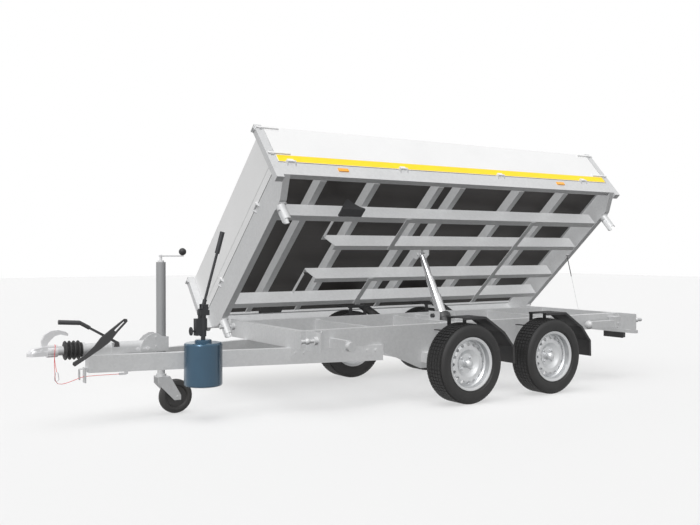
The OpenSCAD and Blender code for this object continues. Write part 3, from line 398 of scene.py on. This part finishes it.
SKINS = {
    "galvanised": zinc_metal("galvanised_steel", (0.60, 0.605, 0.61, 1), 0.06, 70.0, 0.08, 0.12),
    "board_metal": zinc_metal("anodised_boards", (0.80, 0.80, 0.80, 1), 0.05, 160.0, 0.02, 0.0),
    "rim_steel": zinc_metal("rim_lacquer", (0.62, 0.63, 0.64, 1), 0.75, 260.0, 0.04, 0.15),
    "bright_steel": zinc_metal("plated_steel", (0.70, 0.70, 0.71, 1), 0.3, 220.0, 0.04, 0.1),
    "plunger_steel": gloss("hard_chrome", (0.74, 0.74, 0.75, 1), 0.24, Metallic=0.8),
    "dark_steel": grained("dark_paint", (0.05, 0.05, 0.052, 1), 300.0, 0.05, 0.1, Metallic=0.2),
    "blue_paint": gloss(
        "blue_tank_paint", (0.032, 0.09, 0.15, 1), 0.22, Metallic=0.35, Coat_Weight=0.5
    ),
    "pump_black": grained("pump_black", (0.03, 0.031, 0.034, 1), 350.0, 0.12, 0.1, Metallic=0.3),
    "tyre": grained("tyre_rubber", (0.008, 0.008, 0.0084, 1), 500.0, 0.06, 0.04),
    "rubber": grained("black_rubber_and_gap_shade", (0.016, 0.016, 0.017, 1), 300.0, 0.06, 0.1),
    "black_plastic": grained("black_plastic", (0.02, 0.02, 0.0215, 1), 420.0, 0.1, 0.1),
    "red_plastic": gloss("red_lens", (0.55, 0.015, 0.012, 1), 0.15, Coat_Weight=0.6),
    "amber_plastic": gloss("amber_lens", (1.0, 0.42, 0.0, 1), 0.2, Coat_Weight=0.5),
    "red_cord": gloss("red_sheath", (0.85, 0.03, 0.035, 1), 0.4),
    "floor_ply": make_floor_ply(),
}
STRIPE = gloss("yellow_film", (1.0, 0.70, 0.015, 1), 0.5)

slot_of = {row["node"]: row["material_slot"] for row in frame["record"]["subparts"]}
for name, node in nodes.items():
    node.data.materials.clear()
    node.data.materials.append(SKINS[slot_of[name]])

# The lamps are black housings whose red lens looks to the rear
lamps = nodes["rear_lamps"].data
lamps.materials.append(SKINS["black_plastic"])
for face in lamps.polygons:
    face.material_index = 0 if face.normal.x > 0.5 else 1

# The mast of the jockey wheel is dull zinc
nodes["jockey_mast"].data.materials[0] = zinc_metal(
    "dull_zinc", (0.34, 0.345, 0.35, 1), 0.3, 220.0, 0.06, 0.1
)

# The crank ends in a black ball
crank = nodes["jockey_crank"].data
crank.materials.append(SKINS["black_plastic"])
BALL_FROM = (0.895, 0.57)
for face in crank.polygons:
    face.material_index = int(face.center.x > BALL_FROM[0] and face.center.z > BALL_FROM[1])


# Making pieces


def finish_piece(obj, body, slot, skin=None):
    """Gives a piece its finish, and lets it move with its body."""
    obj.data.materials.clear()
    obj.data.materials.append(skin or SKINS[slot])
    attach(obj, body)
    return obj


def new_object(name, mesh):
    obj = bpy.data.objects.new(name, mesh)
    bpy.context.collection.objects.link(obj)
    return obj


def mesh_from(name, builder, smooth_angle=math.radians(35)):
    """A mesh that a function fills in a bmesh, shaded smooth up to an angle."""
    mesh = bpy.data.meshes.new(name)
    bm = bmesh.new()
    builder(bm)
    bmesh.ops.remove_doubles(bm, verts=bm.verts, dist=1e-6)
    bmesh.ops.recalc_face_normals(bm, faces=bm.faces)
    bm.to_mesh(mesh)
    bm.free()
    mesh.shade_smooth()
    mesh.set_sharp_from_angle(angle=smooth_angle)
    return mesh


def add_box(bm, low, high, bevel=0.0, matrix=Matrix.Identity(4)):
    """A box between two corners, with its edges rounded."""
    low, high = Vector(low), Vector(high)
    made = bmesh.ops.create_cube(bm, size=1)["verts"]
    for vert in made:
        vert.co = Vector((low[i] + (vert.co[i] + 0.5) * (high[i] - low[i]) for i in range(3)))
    if bevel:
        edges = list({edge for vert in made for edge in vert.link_edges})
        made = bmesh.ops.bevel(
            bm, geom=edges, offset=bevel, segments=2, profile=0.5, affect="EDGES"
        )["verts"]
    bmesh.ops.transform(bm, matrix=matrix, verts=list(made))


def add_lathe(bm, profile, steps, matrix=Matrix.Identity(4)):
    """Turns a closed outline of (radius, height) points about Z."""
    rings = []
    for radius, height in profile:
        ring = []
        for step in range(steps):
            turn = 2 * math.pi * step / steps
            point = Vector((radius * math.cos(turn), radius * math.sin(turn), height))
            ring.append(bm.verts.new(matrix @ point))
        rings.append(ring)
    for here, there in zip(rings, rings[1:] + rings[:1]):
        for step in range(steps):
            ahead = (step + 1) % steps
            bm.faces.new((here[step], here[ahead], there[ahead], there[step]))


# Geometry node trees


def geometry_tree(name, inputs):
    tree = bpy.data.node_groups.new(name, "GeometryNodeTree")
    tree.interface.new_socket("Geometry", in_out="INPUT", socket_type="NodeSocketGeometry")
    for label, kind, value in inputs:
        socket = tree.interface.new_socket(label, in_out="INPUT", socket_type=kind)
        if value is not None:
            socket.default_value = value
    tree.interface.new_socket("Geometry", in_out="OUTPUT", socket_type="NodeSocketGeometry")
    return tree, tree.nodes.new("NodeGroupInput"), tree.nodes.new("NodeGroupOutput")


def close_tree(tree, start, end, geometry):
    """Ends a tree in Realize Instances and Set Material."""
    real = add(tree, "GeometryNodeRealizeInstances", {"Geometry": geometry})
    skin = add(
        tree,
        "GeometryNodeSetMaterial",
        {"Geometry": real.outputs[0], "Material": start.outputs["Material"]},
    )
    tree.links.new(skin.outputs[0], end.inputs["Geometry"])


def make_bolt_tree():
    """A hexagon head on a washer at every point, standing along the point's 'out' attribute."""
    tree, start, end = geometry_tree(
        "hexagon_bolts",
        [
            ("Head Radius", NUMBER, 0.01),
            ("Head Height", NUMBER, 0.007),
            ("Washer Radius", NUMBER, 0.013),
            ("Washer Height", NUMBER, 0.002),
            ("Material", "NodeSocketMaterial", None),
        ],
    )
    heads = []
    for sides, radius, height in (
        (6, "Head Radius", "Head Height"),
        (20, "Washer Radius", "Washer Height"),
    ):
        drum = add(
            tree,
            "GeometryNodeMeshCylinder",
            {
                "Vertices": sides,
                "Radius": start.outputs[radius],
                "Depth": start.outputs[height],
            },
        )
        half = add(
            tree, "ShaderNodeMath", {0: start.outputs[height], 1: 0.5}, operation="MULTIPLY"
        )
        lift = add(tree, "ShaderNodeCombineXYZ", {"Z": half.outputs[0]})
        moved = add(
            tree,
            "GeometryNodeTransform",
            {"Geometry": drum.outputs["Mesh"], "Translation": lift.outputs[0]},
        )
        heads.append(moved.outputs[0])
    join = add(tree, "GeometryNodeJoinGeometry")
    for head in heads:
        tree.links.new(head, join.inputs[0])
    out = add(tree, "GeometryNodeInputNamedAttribute", {"Name": "out"}, data_type="FLOAT_VECTOR")
    turn = add(
        tree, "FunctionNodeAlignRotationToVector", {"Vector": out.outputs[0]}, axis="Z"
    )
    placed = add(
        tree,
        "GeometryNodeInstanceOnPoints",
        {
            "Points": start.outputs["Geometry"],
            "Instance": join.outputs[0],
            "Rotation": turn.outputs[0],
        },
    )
    close_tree(tree, start, end, placed.outputs[0])
    return tree


def make_tread_tree():
    """Rows of tread blocks round a tyre whose axle is Y."""
    tree, start, end = geometry_tree(
        "tread_blocks",
        [
            ("Radius", NUMBER, TYRE_R),
            ("Blocks Round", "NodeSocketInt", 60),
            ("Rows", "NodeSocketInt", 5),
            ("Row Pitch", NUMBER, 0.027),
            ("Block Size", VECTOR, (0.022, 0.022, 0.009)),
            ("Material", "NodeSocketMaterial", None),
        ],
    )
    block = add(tree, "GeometryNodeMeshCube", {"Size": start.outputs["Block Size"]})
    pitch = add(tree, "ShaderNodeCombineXYZ", {"Y": start.outputs["Row Pitch"]})
    last = add(tree, "ShaderNodeMath", {0: start.outputs["Rows"], 1: 1.0}, operation="SUBTRACT")
    half = add(tree, "ShaderNodeMath", {0: last.outputs[0], 1: -0.5}, operation="MULTIPLY")
    first = add(
        tree,
        "ShaderNodeVectorMath",
        {0: pitch.outputs[0], "Scale": half.outputs[0]},
        operation="SCALE",
    )
    line = add(
        tree,
        "GeometryNodeMeshLine",
        {
            "Count": start.outputs["Rows"],
            "Start Location": first.outputs[0],
            "Offset": pitch.outputs[0],
        },
    )
    row = add(
        tree,
        "GeometryNodeInstanceOnPoints",
        {"Points": line.outputs[0], "Instance": block.outputs["Mesh"]},
    )
    size = add(tree, "ShaderNodeSeparateXYZ", {0: start.outputs["Block Size"]})
    sunk = add(tree, "ShaderNodeMath", {0: size.outputs["Z"], 1: 0.5}, operation="MULTIPLY")
    rise = add(
        tree, "ShaderNodeMath", {0: start.outputs["Radius"], 1: sunk.outputs[0]}, operation="SUBTRACT"
    )
    lift = add(tree, "ShaderNodeCombineXYZ", {"Z": rise.outputs[0]})
    lifted = add(
        tree,
        "GeometryNodeTransform",
        {"Geometry": row.outputs[0], "Translation": lift.outputs[0]},
    )
    centres = add(
        tree,
        "GeometryNodeMeshLine",
        {"Count": start.outputs["Blocks Round"], "Offset": (0, 0, 0)},
    )
    index = add(tree, "GeometryNodeInputIndex")
    share = add(
        tree,
        "ShaderNodeMath",
        {0: index.outputs[0], 1: start.outputs["Blocks Round"]},
        operation="DIVIDE",
    )
    angle = add(
        tree, "ShaderNodeMath", {0: share.outputs[0], 1: 2 * math.pi}, operation="MULTIPLY"
    )
    turn = add(tree, "ShaderNodeCombineXYZ", {"Y": angle.outputs[0]})
    ring = add(
        tree,
        "GeometryNodeInstanceOnPoints",
        {
            "Points": centres.outputs[0],
            "Instance": lifted.outputs[0],
            "Rotation": turn.outputs[0],
        },
    )
    close_tree(tree, start, end, ring.outputs[0])
    return tree


def grow(name, source, tree, values):
    """Runs a tree on a source mesh and keeps the result as a plain mesh object."""
    obj = new_object(name, source)
    modifier = obj.modifiers.new("grow", "NODES")
    modifier.node_group = tree
    for item in tree.interface.items_tree:
        if item.in_out == "INPUT" and item.name in values:
            modifier[item.identifier] = values[item.name]
    bpy.context.view_layer.update()
    shape = bpy.data.meshes.new_from_object(
        obj.evaluated_get(bpy.context.evaluated_depsgraph_get())
    )
    obj.modifiers.clear()
    obj.data = shape
    shape.name = name
    return obj


def points_mesh(name, places):
    """Loose points, each with the direction in which its bolt stands out."""
    mesh = bpy.data.meshes.new(name)
    mesh.from_pydata([tuple(place) for place, _ in places], [], [])
    out = mesh.attributes.new("out", "FLOAT_VECTOR", "POINT")
    for item, (_, direction) in zip(out.data, places):
        item.vector = direction
    return mesh


BOLTS, TREAD = make_bolt_tree(), make_tread_tree()


def add_bolts(name, body, slot, places, head=0.010, height=0.007):
    """Hexagon bolts at (place, direction) pairs that are already in the model's frame."""
    obj = grow(
        name,
        points_mesh(name + "_points", places),
        BOLTS,
        {
            "Head Radius": head,
            "Head Height": height,
            "Washer Radius": head * 1.35,
            "Washer Height": 0.002,
            "Material": SKINS[slot],
        },
    )
    return finish_piece(obj, body, slot)


# Tyres

CARCASS = [
    (0.170, -0.070), (0.183, -0.0715), (0.189, -0.083), (0.196, -0.0845), (0.198, -0.088),
    (0.222, -0.0925), (0.240, -0.0928), (0.253, -0.089), (0.2655, -0.079), (0.2675, -0.070),
    (0.2675, 0.070), (0.2655, 0.079), (0.253, 0.089), (0.240, 0.0928), (0.222, 0.0925),
    (0.198, 0.088), (0.196, 0.0845), (0.189, 0.083), (0.183, 0.0715), (0.170, 0.070),
]
TREAD_ROWS = 5


def add_tyre(end, side, x, y):
    body = f"wheel_{end}_{side}"
    centre = Matrix.Translation(from_ground((x, y, TYRE_R)))
    upright = centre @ Matrix.Rotation(math.radians(-90), 4, "X")
    carcass = new_object(
        f"carcass_{end}_{side}",
        mesh_from("carcass", lambda bm: add_lathe(bm, CARCASS, 96, upright)),
    )
    finish_piece(carcass, body, "tyre")
    blocks = grow(
        f"tread_{end}_{side}",
        bpy.data.meshes.new("tread"),
        TREAD,
        {
            "Radius": TYRE_R,
            "Blocks Round": 66,
            "Rows": TREAD_ROWS,
            "Row Pitch": 0.0285,
            "Block Size": (0.0205, 0.0235, 0.0095),
            "Material": SKINS["tyre"],
        },
    )
    blocks.data.transform(centre)
    finish_piece(blocks, body, "tyre")
    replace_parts(carcass, f"tyre_{end}_{side}")


for end, x in zip(("front", "rear"), AXLES):
    for side, y in (("left", -HALF_TRACK), ("right", HALF_TRACK)):
        add_tyre(end, side, x, y)


# Breakaway cable

CABLE_ROUTE = [
    (-2.566, 0, 0.279), (-2.620, 0, 0.280), (-2.690, 0, 0.281), (-2.750, 0, 0.281),
    (-2.786, 0, 0.279), (-2.812, 0, 0.273), (-2.844, -0.002, 0.262), (-2.880, -0.005, 0.252),
    (-2.915, -0.010, 0.247), (-2.940, -0.016, 0.252), (-2.955, -0.024, 0.270),
    (-2.961, -0.034, 0.310), (-2.965, -0.040, 0.370), (-2.965, -0.043, 0.420),
    (-2.962, -0.043, 0.450), (-2.959, -0.036, 0.470), (-2.956, -0.028, 0.480),
    (-2.954, -0.014, 0.4836), (-2.951, 0, 0.4842), (-2.949, 0.014, 0.4836),
    (-2.948, 0.028, 0.480), (-2.948, 0.036, 0.470), (-2.947, 0.043, 0.450),
    (-2.946, 0.041, 0.420), (-2.945, 0.030, 0.380), (-2.944, 0.014, 0.345),
    (-2.943, 0.004, 0.328), (-2.942, 0.002, 0.320),
]
CABLE_DIAMETER = 0.0032


def add_cable():
    route = [from_ground(point) for point in CABLE_ROUTE]
    curve = bpy.data.curves.new("breakaway_line", "CURVE")
    curve.dimensions = "3D"
    curve.bevel_depth = CABLE_DIAMETER / 2
    curve.bevel_resolution = 3
    curve.use_fill_caps = True
    spline = curve.splines.new("POLY")
    spline.points.add(len(route) - 1)
    for point, place in zip(spline.points, route):
        point.co = (*place, 1)
    line = new_object("breakaway_line", curve)
    finish_piece(line, "chassis", "red_cord")
    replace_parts(line, "breakaway_cable")


add_cable()


# Yellow stripe of the side boards

STRIPE_LOW, STRIPE_HIGH = 0.004, 0.064


def add_stripe(side, sign):
    def build(bm):
        outer = sign * (BED_HALF + 0.0006)
        inner = sign * (BED_HALF - 0.001)
        low = (-BED_END + 0.012, min(outer, inner), BOARD_Z + STRIPE_LOW)
        high = (BED_END - 0.012, max(outer, inner), BOARD_Z + STRIPE_HIGH)
        add_box(bm, low, high, matrix=TO_BED)

    stripe = new_object(f"stripe_{side}", mesh_from("stripe", build))
    finish_piece(stripe, f"board_{side}", "board_metal", STRIPE)


add_stripe("left", -1)
add_stripe("right", 1)


# Black rubber strips in the gap under the boards: painted shade, a dark filling that stands in for the shade in
# that gap

SIDE_HINGES = (0.070, 0.990, 1.930, 2.860)
END_HINGES = (-0.420, 0.374)
HINGE_ROOM = (0.018, 0.064)


def free_lengths(first, last, hinges):
    """The stretches between two ends that the hinges leave free."""
    starts = [first] + [hinge + HINGE_ROOM[1] for hinge in hinges]
    ends = [hinge - HINGE_ROOM[0] for hinge in hinges] + [last]
    return [(a, b) for a, b in zip(starts, ends) if b - a > 0.02]


def add_gap_shade():
    def build(bm):
        low, high = FLOOR_TOP + 0.0003, BOARD_Z - 0.0004
        hinges = [hinge - BED_END for hinge in SIDE_HINGES]
        for a, b in free_lengths(-BED_END + 0.008, BED_END - 0.008, hinges):
            for sign in (-1, 1):
                sides = sorted((sign * (BED_HALF + 0.0004), sign * (BED_HALF - 0.016)))
                add_box(bm, (a, sides[0], low), (b, sides[1], high), matrix=TO_BED)
        for a, b in free_lengths(-0.762, 0.762, END_HINGES):
            for sign in (-1, 1):
                sides = sorted((sign * (BED_END + 0.0004), sign * (BED_END - 0.016)))
                add_box(bm, (sides[0], a, low), (sides[1], b, high), matrix=TO_BED)

    # The strips are painted shade: black rubber put where the gap under the boards is only shaded
    finish_piece(new_object("board_gap_shade", mesh_from("board_gap_shade", build)), "bed", "rubber")


add_gap_shade()


# Limit cable of the bed, built as a straight line that moves with the chassis; the real cable goes slack and
# lies on the chassis once the bed is down

LIMIT_LOW = Vector((4.594, -0.025, 0.0943))
LIMIT_HIGH = Vector((4.594, 0.110, 0.5700))


def add_limit_part(name, slot, radius, start, stop):
    """A stretch of the cable between two shares of its length."""
    low = LIMIT_LOW.lerp(LIMIT_HIGH, start)
    high = LIMIT_LOW.lerp(LIMIT_HIGH, stop)
    run = high - low
    place = Matrix.Translation(low) @ run.to_track_quat("Z", "Y").to_matrix().to_4x4()
    profile = [(0.0001, 0), (radius, 0), (radius, run.length), (0.0001, run.length)]
    obj = new_object(name, mesh_from(name, lambda bm: add_lathe(bm, profile, 16, place)))
    finish_piece(obj, "chassis", slot)
    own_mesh(obj)
    return obj


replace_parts(add_limit_part("limit_line", "bright_steel", 0.0018, 0.004, 0.62), "limit_cable")
add_limit_part("limit_sleeve", "black_plastic", 0.0035, 0.61, 0.985)


# Bolt heads, each seated where a straight look from the side meets the named piece


def seats(node_names, spots):
    """Bolt places on both sides of the trailer, where (x, z) meets the pieces' side."""
    places = []
    for x, z in spots:
        for side in (-1, 1):
            start = from_ground((x, side, z))
            inward = Vector((0, -side, 0))
            hits = [nodes[name].ray_cast(start, inward) for name in node_names]
            found = [hit[1] for hit in hits if hit[0]]
            if found:
                nearest = min(found, key=lambda place: (place - start).length)
                places.append((nearest, (0, side, 0)))
    return places


add_bolts(
    "rail_bolts", "chassis", "galvanised", seats(["chassis_frame"], [(-1.440, 0.463), (-1.394, 0.461)])
)
add_bolts(
    "housing_bolts",
    "chassis",
    "bright_steel",
    seats(["overrun_housing"], [(-2.456, 0.430), (-2.398, 0.431)]),
)
add_bolts(
    "head_bolts",
    "chassis",
    "bright_steel",
    seats(["coupling_head"], [(-3.030, 0.456), (-2.972, 0.451)]),
    0.008,
    0.006,
)


# Floor, world and lamps


def add_stage():
    mesh = bpy.data.meshes.new("studio_floor")
    reach = 30
    mesh.from_pydata(
        [(-reach, -reach, FLOOR_Z), (reach, -reach, FLOOR_Z), (reach, reach, FLOOR_Z), (-reach, reach, FLOOR_Z)],
        [],
        [(0, 1, 2, 3)],
    )
    floor = new_object("studio_floor", mesh)
    material, tree, shader, _ = start_material("studio_floor", Roughness=0.9)
    rays = add(tree, "ShaderNodeLightPath")
    seen = add(
        tree,
        "ShaderNodeMath",
        {0: rays.outputs["Is Camera Ray"], 1: rays.outputs["Is Glossy Ray"]},
        operation="MAXIMUM",
    )
    tone = add(
        tree,
        "ShaderNodeMix",
        {"Factor": seen.outputs[0], "A": (0.1, 0.1, 0.1, 1), "B": (0.74, 0.74, 0.74, 1)},
        data_type="RGBA",
    )
    tree.links.new(tone.outputs["Result"], shader.inputs["Base Color"])
    floor.data.materials.append(material)

    world = bpy.data.worlds.new("studio")
    bpy.context.scene.world = world
    world.use_nodes = True
    tree = world.node_tree
    background = tree.nodes["Background"]
    rays = add(tree, "ShaderNodeLightPath")
    seen = add(
        tree,
        "ShaderNodeMath",
        {0: rays.outputs["Is Camera Ray"], 1: rays.outputs["Is Glossy Ray"]},
        operation="MAXIMUM",
    )
    strength = add(
        tree,
        "ShaderNodeMapRange",
        {"Value": seen.outputs[0], "To Min": 0.21, "To Max": 1.0},
    )
    background.inputs["Color"].default_value = (1, 1, 1, 1)
    tree.links.new(strength.outputs[0], background.inputs["Strength"])


def add_sun(name, towards, strength, softness, shadow=True):
    data = bpy.data.lights.new(name, "SUN")
    data.energy = strength
    data.angle = math.radians(softness)
    data.use_shadow = shadow
    lamp = bpy.data.objects.new(name, data)
    lamp.rotation_euler = Vector(towards).to_track_quat("-Z", "Y").to_euler()
    bpy.context.collection.objects.link(lamp)


add_stage()
add_sun("key", (0.52, 0.42, -0.74), 3.2, 20, False)
add_sun("soft_shadow", (0.15, 0.10, -0.98), 0.8, 60)

bpy.context.scene.view_settings.view_transform = "Standard"
